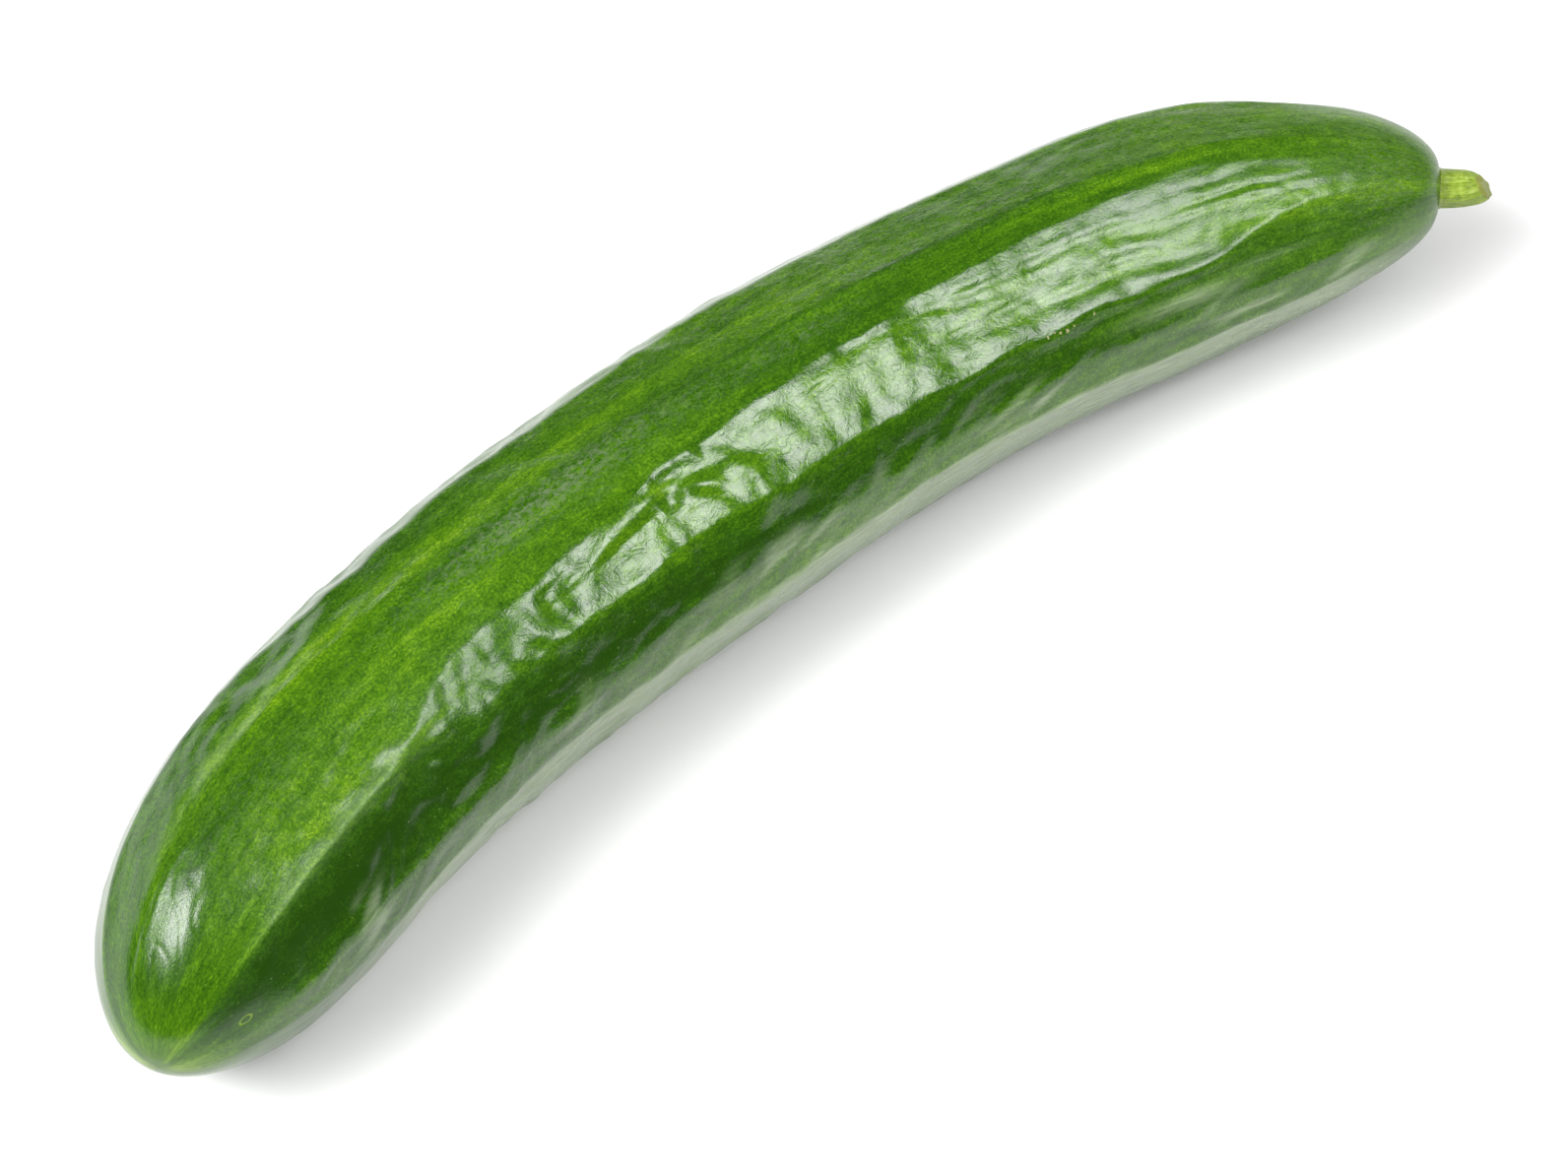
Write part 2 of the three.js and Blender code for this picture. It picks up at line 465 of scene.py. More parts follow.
def pucker_share(share, turn):
    """Where the skin is finely wrinkled: the middle of the length, fading towards both ends,
    and least under the hollow side."""
    degrees = np.degrees(turn) % 360
    smooth = window(degrees, 155, 172, 230, 260)
    return window(share, 0.14, 0.34, 0.62, 0.86) - 0.3 * smooth


def blossom_creases(share, turn):
    """Fine creases that run into the blossom tip and short slanting cracks on the shoulder
    above it, in metres."""
    distance = share * CENTRE_LENGTH
    many = waves(0.35 * distance, turn, *MANY_TIP_CREASES)
    few = waves(0.35 * distance, turn, *FEW_TIP_CREASES)
    tip = window(share, 0.001, 0.012, 0.02, 0.075)
    slanted = distance + 0.6 * MEAN_RADIUS * turn
    cracks = hump(waves(slanted, turn, *SHOULDER_CRACKS), 0.0, 0.13)
    shoulder = hump(share, 0.065, 0.035) * hump(turn, SHOULDER, 0.35)
    return MM * (tip * (0.09 * many + 0.12 * few) - 0.120 * shoulder * cracks)


def swell(share, turn):
    """The gentle rise and fall of the fruit's two sides along its length, in metres."""
    total = 0.0
    for middle, half_width, shares, heights in SWELLS:
        height = eased(share, shares, heights)
        across = hump(degrees_apart(np.degrees(turn), middle), 0, half_width)
        total = total + MM * height * across
    return total


def relief(share, turn, radius, settings):
    """How far the skin stands off the smooth round fruit, in metres."""
    degrees = np.degrees(turn) % 360
    rounder = hump(degrees, 86, 26)
    start = rise(share, -0.01, 0.07) * (1 - rounder) + rise(share, 0.05, 0.16) * rounder
    body = start * (1 - rise(share, 0.88, 0.985))
    underside = hump(degrees_apart(degrees, 270), 0, 16)
    shaped = radius * settings.flatness * (flats(share, turn) - 0.985) * body * (1 - underside)
    wrinkled = settings.pucker_depth * puckers(share, turn)
    wrinkled = wrinkled * window(share, 0.0, 0.08, 0.93, 1.0)
    grooved = settings.groove_depth * groove_depth(share, turn, radius)
    return shaped + wrinkled - grooved + blossom_creases(share, turn) + swell(share, turn)


def areas(patches, share, degrees):
    """The sum of soft oval patches, each a bell both along and around."""
    total = 0.0
    for centre, middle, half_length, half_width, strength in patches:
        across = hump(degrees_apart(degrees, middle), 0, half_width)
        total = total + strength * hump(share, centre, half_length) * across
    return total


def skin_tone(share, turn):
    """0 for the darkest green to 1 for the palest: broad areas plus lengthwise streaks."""
    degrees = np.degrees(turn)
    distance = share * CENTRE_LENGTH
    tone = 0.37 + 0.11 * rise(share, 0.3, 0.45) + 0.04 * hump(share, 0.22, 0.16)
    tone = tone + areas(TONE_AREAS, share, degrees)
    tone = tone + 0.10 * waves(distance, turn, *WIDE_STREAKS)
    tone = tone + 0.07 * waves(distance, turn, *NARROW_STREAKS)
    tip = 1 - rise(share, 0.0, 0.03)
    return tone + tip * (0.38 + 0.2 * waves(0.3 * distance, turn, *TIP_STREAKS))


def painted_floor_reflection(share, turn):
    """How much whitish colour is painted on as a reflection of the bright floor: a band low on the
    hollow side with a crisp upper edge along its ridge, and slanting wisps above that edge,
    strongest near the blossom end; the painted highlight patches near the stem end are added on."""
    distance = share * CENTRE_LENGTH
    degrees = np.degrees(turn) % 360
    edge = degrees - eased(share, RIDGE_SHARES, RIDGES[REFLECTION_RIDGE][1])
    edge = edge - 1.5 * waves(distance, turn, *REFLECTION_EDGE)
    band = 0.56 * rise(edge, -1.0, 1.0) * (1 - rise(degrees, 192, 222))
    strokes = rise(strands(distance, turn, *REFLECTION_STROKES), -0.05, 0.60)
    clumps = rise(waves(distance, turn, *REFLECTION_CLUMPS), -0.45, 0.45)
    begin = 140 + 6 * rise(share, 0.30, 0.45)
    above = rise(degrees, begin, begin + 18) * (1 - rise(edge, -1.0, 1.5))
    wisps = (0.85 - 0.35 * rise(share, 0.25, 0.40)) * strokes * clumps * above
    spread = window(share, 0.08, 0.20, 0.90, 1.0)
    return (band + wisps) * spread + areas(PAINTED_HIGHLIGHT_AREAS, share, degrees)


# ---------------------------------------------------------------- mesh helpers

def closed_grid(points, start_pole, end_pole, name):
    """A mesh of quads through points[row, column], closed round its columns and at both ends
    by a fan to a pole, with its faces pointing outwards."""
    rows, columns = points.shape[:2]
    vertices = np.concatenate([points.reshape(-1, 3), [start_pole], [end_pole]])
    index = np.arange(rows * columns).reshape(rows, columns)
    beside = np.roll(index, -1, axis=1)
    quads = np.stack([index[:-1], index[1:], beside[1:], beside[:-1]], -1).reshape(-1, 4)
    first, last = rows * columns, rows * columns + 1
    start_fan = [(first, a, b) for a, b in zip(index[0].tolist(), beside[0].tolist())]
    end_fan = [(last, b, a) for a, b in zip(index[-1].tolist(), beside[-1].tolist())]
    mesh = bpy.data.meshes.new(name)
    mesh.from_pydata(vertices.tolist(), [], quads.tolist() + start_fan + end_fan)
    mesh.polygons.foreach_set("use_smooth", np.ones(len(mesh.polygons), bool))
    mesh.update()
    return mesh


def add_values(mesh, name, values):
    """Stores one number, or one vector, for each vertex."""
    kind, field = ("FLOAT_VECTOR", "vector") if values.ndim == 2 else ("FLOAT", "value")
    attribute = mesh.attributes.new(name, kind, "POINT")
    attribute.data.foreach_set(field, values.astype(np.float32).ravel())


def add_piece(name, mesh, material, node):
    """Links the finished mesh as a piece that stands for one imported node."""
    mesh.materials.append(material)
    piece = bpy.data.objects.new(name, mesh)
    bpy.context.scene.collection.objects.link(piece)
    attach(piece, "root")
    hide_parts(node)


def box_centre(points):
    """The middle of the points' box, level."""
    middle = (points.min(0) + points.max(0)) / 2
    return np.array([middle[0], middle[1], 0.0])


# ---------------------------------------------------------------- material helpers

class Nodes:
    """A short way to write a material's node tree."""

    def __init__(self, name):
        self.material = bpy.data.materials.new(name)
        self.material.use_nodes = True
        self.tree = self.material.node_tree
        self.tree.nodes.clear()

    def add(self, kind, inputs=None, **settings):
        """Adds a node, sets its properties, and links or fills its inputs."""
        node = self.tree.nodes.new(kind)
        for key, value in settings.items():
            setattr(node, key, value)
        for key, value in (inputs or {}).items():
            if isinstance(value, bpy.types.NodeSocket):
                self.tree.links.new(value, node.inputs[key])
            else:
                node.inputs[key].default_value = value
        return node

    def attribute(self, name, output):
        return self.add("ShaderNodeAttribute", attribute_name=name).outputs[output]

    def stretch(self, vector, scale, shift=(0, 0, 0)):
        inputs = {"Vector": vector, "Scale": scale, "Location": shift}
        return self.add("ShaderNodeMapping", inputs).outputs["Vector"]

    def noise(self, vector, detail=3.0, roughness=0.5, distortion=0.0):
        inputs = {
            "Vector": vector, "Scale": 1.0, "Detail": detail,
            "Roughness": roughness, "Distortion": distortion,
        }
        return self.add("ShaderNodeTexNoise", inputs).outputs["Fac"]

    def pattern(self, place, scales, detail=3.0, roughness=0.5, distortion=0.0):
        """Noise on a place that is stretched by these scales."""
        return self.noise(self.stretch(place, scales), detail, roughness, distortion)

    def distance(self, place, spot):
        inputs = {0: place, 1: spot}
        return self.add("ShaderNodeVectorMath", inputs, operation="DISTANCE").outputs["Value"]

    def math(self, operation, first, second=0.0, third=0.0, clamp=False):
        inputs = {0: first, 1: second, 2: third}
        node = self.add("ShaderNodeMath", inputs, operation=operation, use_clamp=clamp)
        return node.outputs[0]

    def vary(self, value, pattern, amount):
        """Moves a value up and down with a pattern that lies around one half."""
        return self.math("MULTIPLY_ADD", self.math("SUBTRACT", pattern, 0.5), amount, value)

    def remap(self, value, low, high, to_low=0.0, to_high=1.0):
        inputs = {
            "Value": value, "From Min": low, "From Max": high,
            "To Min": to_low, "To Max": to_high,
        }
        return self.add("ShaderNodeMapRange", inputs, clamp=True).outputs["Result"]

    def ramp(self, value, stops):
        node = self.add("ShaderNodeValToRGB", {"Fac": value})
        elements = node.color_ramp.elements
        while len(elements) < len(stops):
            elements.new(0.5)
        for element, (place, colour) in zip(elements, stops):
            element.position = place
            element.color = (*colour, 1.0)
        return node.outputs["Color"]

    def mix(self, share, first, second):
        node = self.add("ShaderNodeMix", data_type="RGBA")
        for socket, value in ((0, share), (6, first), (7, second)):
            if isinstance(value, bpy.types.NodeSocket):
                self.tree.links.new(value, node.inputs[socket])
            else:
                node.inputs[socket].default_value = value if socket == 0 else (*value, 1.0)
        return node.outputs[2]

    def bump(self, height, distance, strength=1.0, before=None):
        inputs = {"Height": height, "Distance": distance, "Strength": strength}
        if before is not None:
            inputs["Normal"] = before
        return self.add("ShaderNodeBump", inputs).outputs["Normal"]

    def finish(self, inputs):
        shader = self.add("ShaderNodeBsdfPrincipled", inputs)
        output = self.add("ShaderNodeOutputMaterial", {"Surface": shader.outputs["BSDF"]})
        output.is_active_output = True
        return self.material


def skin_spot(share, degrees):
    """The place of a spot on the skin in the coordinates that the skin's colours use."""
    turn = math.radians(degrees)
    across = (MEAN_RADIUS * math.cos(turn), MEAN_RADIUS * math.sin(turn))
    return (share * CENTRE_LENGTH, *across)


def marks(n, place, spots):
    """1 inside small ragged spots and 0 outside them."""
    total = 0.0
    for share, degrees, radius in spots:
        away = n.distance(place, skin_spot(share, degrees))
        size = radius * MM
        total = n.math("MAXIMUM", n.remap(away, size, 0.55 * size), total)
    return total


def skin_material(settings):
    """Waxy green skin: greens laid out along the fruit in streaks, mottled and finely grained,
    with pale specks, greyish patches of painted sheen, a whitish painted reflection of the floor
    with painted highlight patches, and small dried marks."""
    n = Nodes("skin")
    place = n.attribute("skin_place", "Vector")
    tone = n.attribute("tone", "Fac")
    pucker = n.attribute("pucker", "Fac")
    painted_sheen = n.attribute("painted_sheen", "Fac")
    painted_reflection = n.attribute("painted_reflection", "Fac")
    stipple = n.attribute("stipple", "Fac")

    streak = n.pattern(place, (38, 380, 380), 3.0, 0.55, 0.6)
    fine_streak = n.pattern(place, (130, 1200, 1200), 2.0, 0.6)
    mottle = n.pattern(place, (300, 420, 420), 4.0, 0.65, 0.4)
    grain = n.pattern(place, (1900, 2300, 2300), 2.0, 0.6)
    for pattern, amount in ((streak, 0.45), (fine_streak, 0.25), (mottle, 0.65), (grain, 1.0)):
        tone = n.vary(tone, pattern, amount)
    colour = n.ramp(tone, (
        (0.0, settings.darkest),
        (0.28, settings.dark),
        (0.55, settings.green),
        (0.80, settings.light),
        (1.0, settings.palest),
    ))

    cells = n.add("ShaderNodeTexVoronoi", {
        "Vector": n.stretch(place, (620, 620, 620)), "Scale": 1.0, "Randomness": 1.0,
    })
    chance = n.add("ShaderNodeSeparateColor", {"Color": cells.outputs["Color"]}).outputs[0]
    picked = n.math("GREATER_THAN", chance, 0.62)
    dot = n.remap(cells.outputs["Distance"], 0.13, 0.06)
    speck = n.math("MULTIPLY", dot, picked)
    colour = n.mix(n.math("MULTIPLY", speck, 0.4), colour, settings.speck)
    # Painted sheen: greyish flecks mixed in over the patches where a hazy sheen shows.
    fleck = n.remap(n.pattern(place, (700, 1100, 1100), 3.0, 0.7, 0.6), 0.42, 0.72)
    flecked = n.math("MULTIPLY", n.math("MULTIPLY", painted_sheen, fleck), 0.8)
    colour = n.mix(flecked, colour, settings.painted_sheen)

    # Painted reflection: whitish colour mixed in where the bright floor is mirrored low on the
    # hollow side, and painted highlight patches near the stem end.
    painted_reflection_share = n.math("MULTIPLY", painted_reflection, n.remap(fine_streak, 0.25, 0.75, 0.40, 1.45))
    colour = n.mix(painted_reflection_share, colour, settings.painted_reflection)

    ragged = n.add("ShaderNodeTexNoise", {
        "Vector": n.stretch(place, (1100, 1100, 1100)), "Scale": 1.0,
    }).outputs["Color"]
    frayed = n.add("ShaderNodeVectorMath", {
        0: ragged, 1: (0.0013, 0.0009, 0.0009), 2: place,
    }, operation="MULTIPLY_ADD").outputs["Vector"]
    scabs = marks(n, frayed, SCABS)
    dark_scabs = marks(n, frayed, DARK_SCABS)
    colour = n.mix(n.math("MULTIPLY", scabs, 0.6), colour, settings.scab)
    colour = n.mix(n.math("MULTIPLY", dark_scabs, 0.75), colour, settings.darkest)
    away = n.distance(place, skin_spot(*RING_SCAR))
    begins, full, fades, ends = RING_EDGES
    ring = n.math("MULTIPLY", n.remap(away, ends, fades), n.remap(away, begins, full))
    colour = n.mix(n.math("MULTIPLY", ring, 0.7), colour, settings.palest)

    dullness = n.remap(mottle, 0.3, 0.7, settings.roughness - 0.03, settings.roughness + 0.05)
    roughness = n.math("MULTIPLY_ADD", stipple, 0.07, dullness)

    crackle = n.pattern(place, (520, 700, 700), 3.0, 0.6, 0.8)
    crackle_height = n.math("MULTIPLY", crackle, n.remap(pucker, -0.3, 1.0, 0.15, 1.0))
    grain_height = n.math("MULTIPLY", grain, n.remap(stipple, 0.0, 1.0, 0.4, 1.0))
    normal = n.bump(crackle_height, 0.000085)
    normal = n.bump(grain_height, 0.000036, before=normal)
    normal = n.bump(speck, 0.000008, before=normal)
    normal = n.bump(n.math("ADD", scabs, ring), 0.00006, before=normal)
    return n.finish({
        "Base Color": colour,
        "Roughness": roughness,
        "IOR": 1.5,
        "Normal": normal,
    })


def stem_material(settings):
    """Pale fleshy stalk: yellow-green with fine lengthwise fibres, brown and dry at the cut."""
    n = Nodes("stalk")
    place = n.attribute("stem_place", "Vector")
    cut = n.attribute("cut", "Fac")
    fibre = n.pattern(place, (350, 3200, 3200), 3.0, 0.6)
    mottle = n.pattern(place, (700, 900, 900), 3.0, 0.6)
    grain = n.pattern(place, (4200, 5200, 5200), 2.0, 0.6)
    tone = n.vary(n.vary(fibre, mottle, 0.8), grain, 0.3)
    colour = n.ramp(tone, (
        (0.25, settings.dark), (0.5, settings.flesh), (0.8, settings.pale),
    ))
    dry = n.remap(n.vary(cut, mottle, 0.5), 0.35, 0.75)
    colour = n.mix(dry, colour, settings.cut)
    normal = n.bump(fibre, 0.00008)
    normal = n.bump(grain, 0.00002, before=normal)
    return n.finish({
        "Base Color": colour,
        "Roughness": n.remap(grain, 0.3, 0.7, 0.30, 0.46),
        "IOR": 1.42,
        "Normal": normal,
        "Subsurface Weight": 0.25,
        "Subsurface Radius": (0.0012, 0.0016, 0.0005),
        "Subsurface Scale": 1.0,
    })


# ---------------------------------------------------------------- settings

class SkinSettings(bpy.types.PropertyGroup):
    flatness: FloatProperty(
        name="Flatness", description="How flat the skin is between its long ridges",
        default=0.95, min=0, max=1, subtype="FACTOR")
    pucker_depth: FloatProperty(
        name="Puckers", description="How deep the wrinkles of the middle are",
        default=1.0, min=0, max=3)
    groove_depth: FloatProperty(
        name="Grooves", description="How deep the thin lengthwise grooves are",
        default=1.0, min=0, max=3)
    roughness: FloatProperty(
        name="Dullness", description="Roughness of the waxy skin",
        default=0.155, min=0.05, max=1, subtype="FACTOR")
    darkest: FloatVectorProperty(
        name="Darkest", description="The deepest green", subtype="COLOR",
        default=(0.010, 0.038, 0.001))
    dark: FloatVectorProperty(
        name="Dark", description="Dark green", subtype="COLOR",
        default=(0.018, 0.064, 0.0014))
    green: FloatVectorProperty(
        name="Green", description="Middle green", subtype="COLOR",
        default=(0.042, 0.116, 0.002))
    light: FloatVectorProperty(
        name="Light", description="Yellowish green", subtype="COLOR",
        default=(0.092, 0.195, 0.003))
    palest: FloatVectorProperty(
        name="Palest", description="Pale yellow-green", subtype="COLOR",
        default=(0.190, 0.300, 0.018))
    # Colour of the painted sheen patches.
    painted_sheen: FloatVectorProperty(
        name="Painted sheen", description="Dull wax on the skin", subtype="COLOR",
        default=(0.115, 0.150, 0.085))
    # Colour of the painted reflection of the floor and of the painted highlight patches.
    painted_reflection: FloatVectorProperty(
        name="Painted reflection", description="Whitish wax low on the side", subtype="COLOR",
        default=(0.32, 0.395, 0.235))
    scab: FloatVectorProperty(
        name="Scabs", description="Small dried marks", subtype="COLOR",
        default=(0.42, 0.37, 0.18))
    speck: FloatVectorProperty(
        name="Specks", description="The fine pale specks", subtype="COLOR",
        default=(0.16, 0.24, 0.06))


class StemSettings(bpy.types.PropertyGroup):
    dark: FloatVectorProperty(
        name="Dark", description="Green in the furrows", subtype="COLOR",
        default=(0.082, 0.138, 0.009))
    flesh: FloatVectorProperty(
        name="Flesh", description="Yellow-green stalk", subtype="COLOR",
        default=(0.180, 0.262, 0.018))
    pale: FloatVectorProperty(
        name="Pale", description="Palest stalk", subtype="COLOR",
        default=(0.29, 0.36, 0.07))
    cut: FloatVectorProperty(
        name="Cut", description="Dried end", subtype="COLOR",
        default=(0.17, 0.19, 0.03))


class StageSettings(bpy.types.PropertyGroup):
    floor: FloatVectorProperty(
        name="Floor", description="Colour of the floor", subtype="COLOR",
        default=(0.69, 0.69, 0.69))
    right_light: FloatProperty(
        name="Right light", description="Brightness of the soft light on the right",
        default=9.8, min=0)
    right_soft: FloatProperty(
        name="Right soft light", description="The part of the right light that is not mirrored",
        default=2.05, min=0)
    left_light: FloatProperty(
        name="Left light", description="Brightness of the soft light on the left",
        default=18.0, min=0)
    left_soft: FloatProperty(
        name="Left soft light", description="The part of the left light that is not mirrored",
        default=4.7, min=0)
    fill_light: FloatProperty(
        name="Fill light", description="Brightness of the broad light overhead, not mirrored",
        default=0.66, min=0)
    room: FloatProperty(
        name="Room", description="Brightness of the surroundings", default=0.06, min=0)
    camera_distance: FloatProperty(
        name="Camera distance", description="From the camera to the point it aims at",
        default=0.75935, unit="LENGTH")
    camera_lens: FloatProperty(
        name="Lens", description="Focal length in millimetres on a 36 mm wide sensor", default=100)


# ---------------------------------------------------------------- the pieces

def place_offset():
    """From the centre line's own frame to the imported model's: the difference of the middles of
    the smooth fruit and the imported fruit."""
    share = np.linspace(0, 1, 1201)[:, None]
    turn = np.linspace(0, 2 * math.pi, 360, endpoint=False)[None, :]
    smooth = skin_points(share, turn, 0.0)
    packed = np.array([list(corner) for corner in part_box("fruit")])
    return box_centre(packed) - box_centre(smooth.reshape(-1, 3))


def skin_points(share, turn, height):
    """Points on the skin: each section's circle about the bowed centre line, raised by the
    height, and pressed flat where it would go below the floor."""
    centre, _, side, radius = section(share[..., 0])
    out = np.cos(turn)[..., None] * side[:, None, :] + np.sin(turn)[..., None] * UP
    points = centre[:, None, :] + (radius[:, None] + height)[..., None] * out
    points[..., 2] = np.maximum(points[..., 2], 0.0)
    return points


def make_fruit(settings):
    """The fruit's skin as one closed surface, rows along and columns around, with its rows set
    closer together at both ends."""
    even = np.linspace(0, 1, FRUIT_ALONG + 1)[1:-1]
    share = (even - 0.5 * np.sin(2 * math.pi * even) / (2 * math.pi))[:, None]
    around = np.arange(FRUIT_AROUND) / FRUIT_AROUND * 2 * math.pi
    turn = (around + 0.3 * np.cos(around))[None, :]
    shares, turns = np.broadcast_arrays(share, turn)
    radius = section(share[:, 0])[3][:, None]
    height = relief(share, turn, radius, settings)
    offset = place_offset()
    points = skin_points(share, turn, height) + offset
    poles = [section(np.array([end]))[0][0] + offset for end in (0.0, 1.0)]
    mesh = closed_grid(points, poles[0], poles[1], "fruit_skin")

    straight = np.stack([
        shares * CENTRE_LENGTH, MEAN_RADIUS * np.cos(turns), MEAN_RADIUS * np.sin(turns),
    ], -1).reshape(-1, 3)
    ends = [[0, 0, 0], [CENTRE_LENGTH, 0, 0]]
    add_values(mesh, "skin_place", np.concatenate([straight, ends]))
    degrees = np.degrees(turns)
    for name, values, at_ends in (
        ("tone", skin_tone(shares, turns), (0.6, 0.4)),
        # The next two hold the painted sheen, and the painted reflection of the floor with its
        # painted highlight patches.
        ("painted_sheen", areas(PAINTED_SHEEN_AREAS, shares, degrees), (0, 0)),
        ("painted_reflection", painted_floor_reflection(shares, turns), (0, 0)),
        ("stipple", 1.3 * rise(shares, 0.70, 0.86) + areas(DULL_AREAS, shares, degrees), (1, 1)),
        ("pucker", pucker_share(shares, turns), (0, 0)),
    ):
        add_values(mesh, name, np.append(values.ravel(), at_ends))
    return mesh


def make_stem():
    """The stem as one closed surface: a tapering ribbed tube that curls up to a slanted, rounded
    and notched end."""
    share = np.linspace(0, 1, STEM_ALONG)[:, None]
    turn = (np.arange(STEM_AROUND) / STEM_AROUND * 2 * math.pi)[None, :]
    side_share = np.minimum(share / STEM_SIDE_SHARE, 1.0)
    inward = np.maximum(share - STEM_SIDE_SHARE, 0) / (1 - STEM_SIDE_SHARE)

    taper = 1 - 0.14 * side_share**2 - 0.24 * side_share**7
    flare = STEM_FLARE * (1 - rise(side_share, 0.0, 0.16))
    rib = STEM_RIB_HEIGHT * np.cos(STEM_RIBS * turn + 0.5) * (1 - 0.5 * side_share)
    furrow = STEM_FURROW_DEPTH * np.cos(STEM_FURROWS * turn + 2 * side_share)
    rim = STEM_RADIUS * taper + rib + furrow * rise(side_share, 0, 0.2) + flare
    radius = rim * np.cos(math.pi / 2 * inward)
    height = radius * np.cos(turn)
    across = radius * np.sin(turn)
    top = height + STEM_CURL * side_share**2

    half_way = np.sin(math.pi * np.minimum(inward * 1.4, 1)) ** 2
    notch = STEM_NOTCH_DEPTH * np.cos(STEM_NOTCHES * turn + 1.0) * half_way
    dish = STEM_DISH_DEPTH * rise(inward, 0.5, 0.9)
    nose = STEM_NOSE * np.sin(math.pi / 2 * inward) - dish - notch
    slant = side_share**2 * STEM_CUT_SLANT * height
    body = side_share * (STEM_LENGTH - STEM_NOSE + STEM_SUNK) - STEM_SUNK
    forward = body + nose - slant

    centre, ahead, side, _ = section(np.array([1.0]))
    centre, ahead, side = centre[0], ahead[0], side[0]
    direction = ahead * math.cos(STEM_DROOP) - UP * math.sin(STEM_DROOP)
    upper = np.cross(-side, direction)
    root = centre + direction * (STEM_CLEARANCE + STEM_RADIUS * math.sin(STEM_DROOP))
    root = root + place_offset()
    parts = np.stack(np.broadcast_arrays(across, forward, top), -1)
    points = root + parts @ np.stack([-side, direction, upper])
    mesh = closed_grid(points[:-1], root, points[-1].mean(0), "stem_stalk")

    place = np.stack(np.broadcast_arrays(
        side_share * STEM_LENGTH + inward * 0.003,
        STEM_RADIUS * np.sin(turn) * (1 - inward),
        STEM_RADIUS * np.cos(turn) * (1 - inward),
    ), -1)[:-1].reshape(-1, 3)
    ends = [[0, 0, 0], [STEM_LENGTH, 0, 0]]
    add_values(mesh, "stem_place", np.concatenate([place, ends]))
    cut = np.broadcast_to(rise(share, 0.66, 0.80), (STEM_ALONG, STEM_AROUND))[:-1]
    add_values(mesh, "cut", np.append(cut.ravel(), [0, 1]))
    return mesh


class CUCUMBER_OT_fruit(bpy.types.Operator):
    """Builds the fruit's skin"""

    bl_idname = "cucumber.fruit"
    bl_label = "Fruit"

    def execute(self, context):
        settings = context.scene.cucumber_skin
        add_piece("skin", make_fruit(settings), skin_material(settings), "fruit")
        return {"FINISHED"}


class CUCUMBER_OT_stem(bpy.types.Operator):
    """Builds the cut stem"""

    bl_idname = "cucumber.stem"
    bl_label = "Stem"

    def execute(self, context):
        settings = context.scene.cucumber_stem
        add_piece("stalk", make_stem(), stem_material(settings), "stem")
        return {"FINISHED"}


# ---------------------------------------------------------------- the stage

FLOOR_HALF = 7.0
CAMERA_ELEVATION = math.radians(60)
CAMERA_AZIMUTH = math.radians(-37.897)
CAMERA_AIM = np.array([-0.00794, -0.01785, 0.025])
# Directions are given as to the right of the view, away from the camera, and up. The angles are
# how wide each light is, along its long way and across, seen from the cucumber.
RIGHT_TOWARD = (0.523, -0.205, 0.830)
RIGHT_LONG = (0.61, 0.72, -0.33)
RIGHT_ANGLES = (math.radians(26), math.radians(27))
LEFT_TOWARD = (-0.58, -0.20, 0.79)
LEFT_LONG = (-0.42, 0.85, -0.10)
LEFT_ANGLES = (math.radians(27), math.radians(19))
FILL_TOWARD = (0.0, 0.05, 1.0)
FILL_LONG = (1, 0, 0)
FILL_ANGLES = (math.radians(70), math.radians(70))
# A fading light is a stack of ever smaller ones: the share of its angles and of its brightness.
# The left one has a faint wide rim as well.
LIGHT_STEPS = ((1.0, 0.40), (0.76, 0.26), (0.54, 0.24), (0.34, 0.25))
LEFT_STEPS = ((1.6, 0.04), *LIGHT_STEPS)
LIGHT_DISTANCE = 2.6
LIGHT_GAP = 0.02  # from one of the stack to the next, so that all of them are mirrored
SOFT_SPREAD = 1.6  # how much wider the part of a light is that isn't mirrored


def view_axes():
    """The level directions to the right of the view and away from the camera, and straight up."""
    right = np.array([math.cos(CAMERA_AZIMUTH), math.sin(CAMERA_AZIMUTH), 0.0])
    return np.stack([right, np.cross(UP, right), UP])


def add_floor(settings):
    """One wide pale square at the height the cucumber lies on."""
    n = Nodes("floor")
    place = n.add("ShaderNodeTexCoord").outputs["Object"]
    faint = n.noise(n.stretch(place, (3, 3, 3)), 2.0)
    pale = tuple(settings.floor)
    shade = tuple(0.985 * part for part in pale)
    material = n.finish({
        "Base Color": n.mix(faint, shade, pale), "Roughness": 0.8, "Specular IOR Level": 0.2,
    })
    mesh = bpy.data.meshes.new("floor")
    corners = [(x * FLOOR_HALF, y * FLOOR_HALF, 0) for x, y in ((-1, -1), (1, -1), (1, 1), (-1, 1))]
    mesh.from_pydata(corners, [], [(0, 1, 2, 3)])
    mesh.materials.append(material)
    floor = bpy.data.objects.new("floor", mesh)
    bpy.context.scene.collection.objects.link(floor)


def add_light(name, toward, long_way, angles, radiance, distance, mirrored=True):
    """A soft oblong light that faces the cucumber and is as wide as these angles seen from it.
    Its power is its radiance times its area times four."""
    axes = view_axes()
    back = Vector(np.array(toward) @ axes).normalized()
    along = Vector(np.array(long_way) @ axes)
    along = (along - back * along.dot(back)).normalized()
    data = bpy.data.lights.new(name, "AREA")
    data.shape = "RECTANGLE"
    data.size, data.size_y = (2 * distance * math.tan(angle / 2) for angle in angles)
    data.energy = 4 * data.size * data.size_y * radiance
    light = bpy.data.objects.new(name, data)
    light.visible_glossy = mirrored
    light.location = back * distance
    light.rotation_mode = "QUATERNION"
    turned = Matrix((along, back.cross(along), back)).transposed()
    light.rotation_quaternion = turned.to_quaternion()
    bpy.context.scene.collection.objects.link(light)


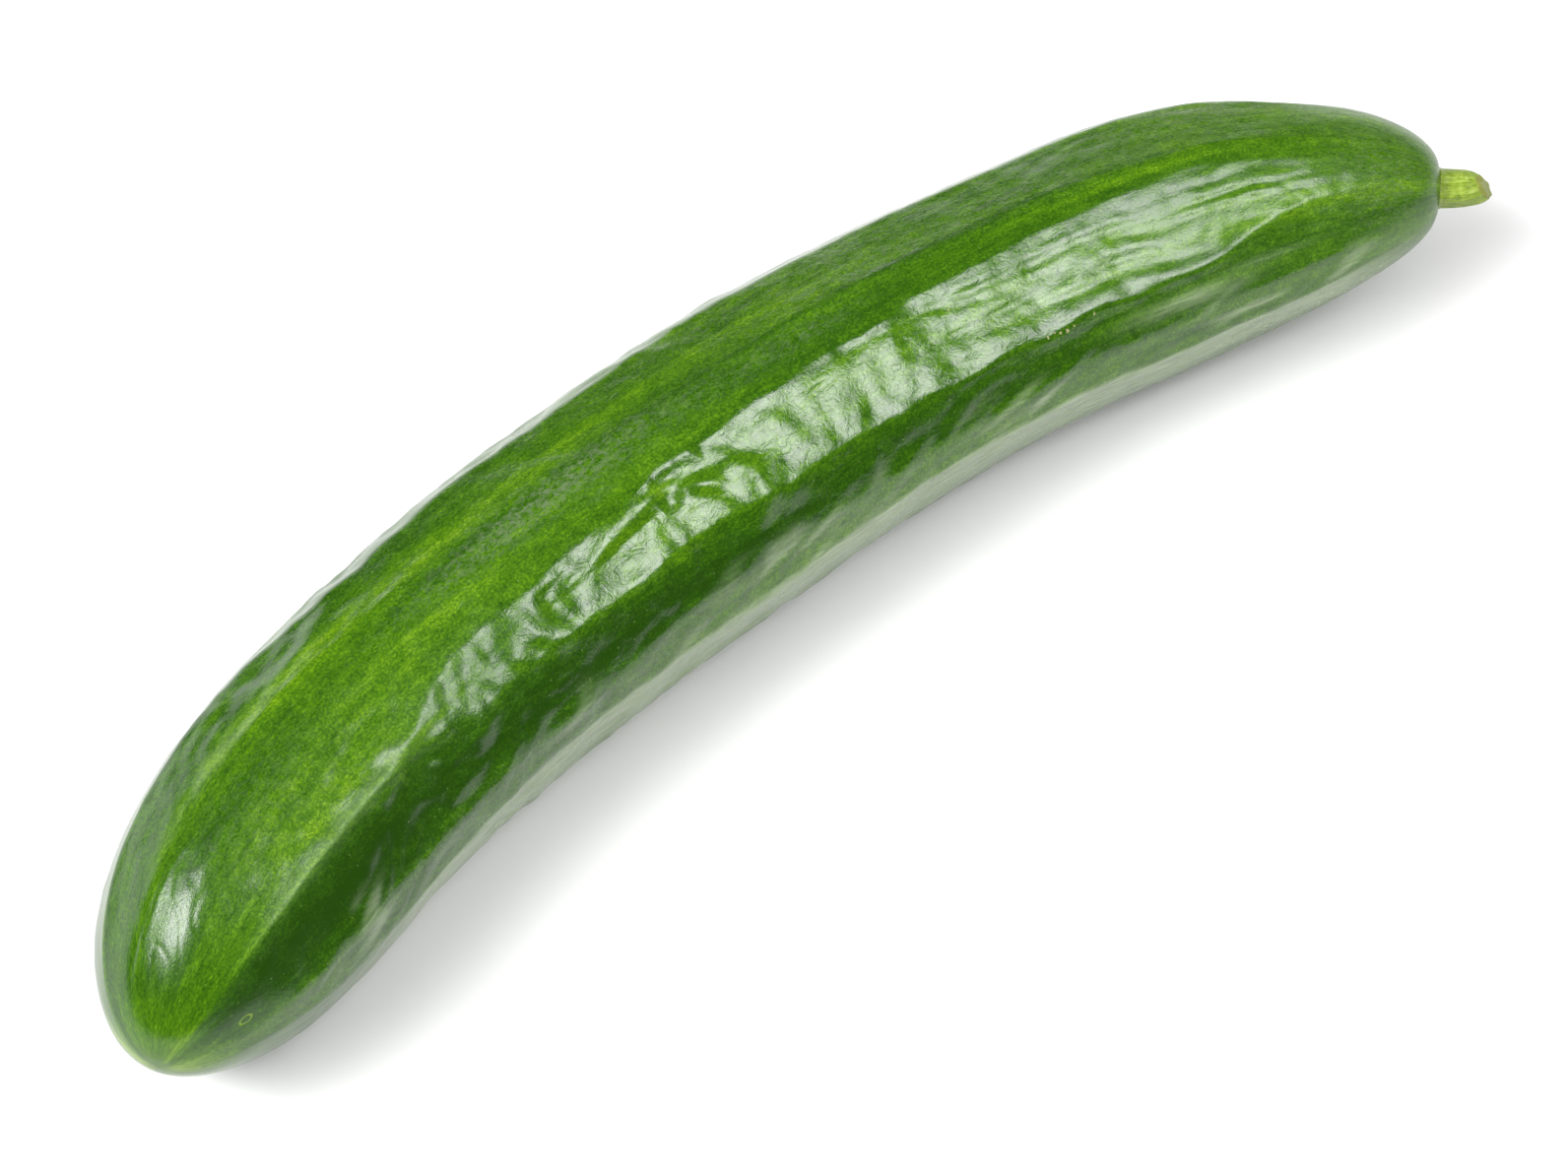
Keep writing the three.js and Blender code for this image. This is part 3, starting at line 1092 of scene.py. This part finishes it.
def add_fading_light(name, toward, long_way, angles, steps, radiance):
    """A light that fades towards its edges, made of a stack of ever smaller ones."""
    for step, (width, share) in enumerate(steps):
        inner = tuple(width * angle for angle in angles)
        distance = LIGHT_DISTANCE - step * LIGHT_GAP
        add_light(f"{name}_{step}", toward, long_way, inner, share * radiance, distance)


def add_camera(settings):
    """The camera, looking down at the cucumber from its hollow side."""
    back = np.array([
        math.sin(CAMERA_AZIMUTH) * math.cos(CAMERA_ELEVATION),
        -math.cos(CAMERA_AZIMUTH) * math.cos(CAMERA_ELEVATION),
        math.sin(CAMERA_ELEVATION),
    ])
    data = bpy.data.cameras.new("camera")
    data.sensor_width = 36
    data.lens = settings.camera_lens
    camera = bpy.data.objects.new("camera", data)
    camera.location = CAMERA_AIM + back * settings.camera_distance
    camera.rotation_mode = "QUATERNION"
    camera.rotation_quaternion = Vector(-back).to_track_quat("-Z", "Y")
    bpy.context.scene.collection.objects.link(camera)
    bpy.context.scene.camera = camera


class CUCUMBER_OT_stage(bpy.types.Operator):
    """Builds the floor, the lights and the camera"""

    bl_idname = "cucumber.stage"
    bl_label = "Stage"

    def execute(self, context):
        settings = context.scene.cucumber_stage
        add_floor(settings)
        right = (RIGHT_TOWARD, RIGHT_LONG)
        left = (LEFT_TOWARD, LEFT_LONG)
        fill = (FILL_TOWARD, FILL_LONG)
        add_fading_light("right_light", *right, RIGHT_ANGLES, LIGHT_STEPS, settings.right_light)
        add_fading_light("left_light", *left, LEFT_ANGLES, LEFT_STEPS, settings.left_light)
        wider_right = [SOFT_SPREAD * angle for angle in RIGHT_ANGLES]
        wider_left = [SOFT_SPREAD * angle for angle in LEFT_ANGLES]
        for name, place, angles, radiance in (
            ("right_soft", right, wider_right, settings.right_soft),
            ("left_soft", left, wider_left, settings.left_soft),
            ("fill_light", fill, FILL_ANGLES, settings.fill_light),
        ):
            add_light(name, *place, angles, radiance, LIGHT_DISTANCE, mirrored=False)
        world = bpy.data.worlds.new("room")
        world.use_nodes = True
        background = world.node_tree.nodes["Background"]
        background.inputs["Color"].default_value = (1, 1, 1, 1)
        background.inputs["Strength"].default_value = settings.room
        context.scene.world = world
        context.scene.view_settings.view_transform = "Standard"
        add_camera(settings)
        return {"FINISHED"}


class CUCUMBER_PT_panel(bpy.types.Panel):
    """Lists the cucumber's pieces and its stage"""

    bl_idname = "CUCUMBER_PT_panel"
    bl_label = "Cucumber"
    bl_space_type = "VIEW_3D"
    bl_region_type = "UI"
    bl_category = "Cucumber"

    def draw(self, context):
        for operator, group in STEPS:
            self.layout.operator(operator.bl_idname)
            settings = getattr(context.scene, group)
            for key in settings.__annotations__:
                self.layout.prop(settings, key)


STEPS = (
    (CUCUMBER_OT_fruit, "cucumber_skin"),
    (CUCUMBER_OT_stem, "cucumber_stem"),
    (CUCUMBER_OT_stage, "cucumber_stage"),
)
GROUPS = {
    "cucumber_skin": SkinSettings,
    "cucumber_stem": StemSettings,
    "cucumber_stage": StageSettings,
}
CLASSES = (*GROUPS.values(), *(step[0] for step in STEPS), CUCUMBER_PT_panel)


def register():
    """Adds the classes, and a group of settings for each piece, to Blender."""
    for one in CLASSES:
        bpy.utils.register_class(one)
    for name, group in GROUPS.items():
        setattr(bpy.types.Scene, name, PointerProperty(type=group))


def unregister():
    """Takes out what register added."""
    for name in GROUPS:
        delattr(bpy.types.Scene, name)
    for one in reversed(CLASSES):
        bpy.utils.unregister_class(one)


def main():
    """Builds the pieces and the stage."""
    register()
    bpy.ops.cucumber.fruit()
    bpy.ops.cucumber.stem()
    bpy.ops.cucumber.stage()


if __name__ == "__main__":
    main()
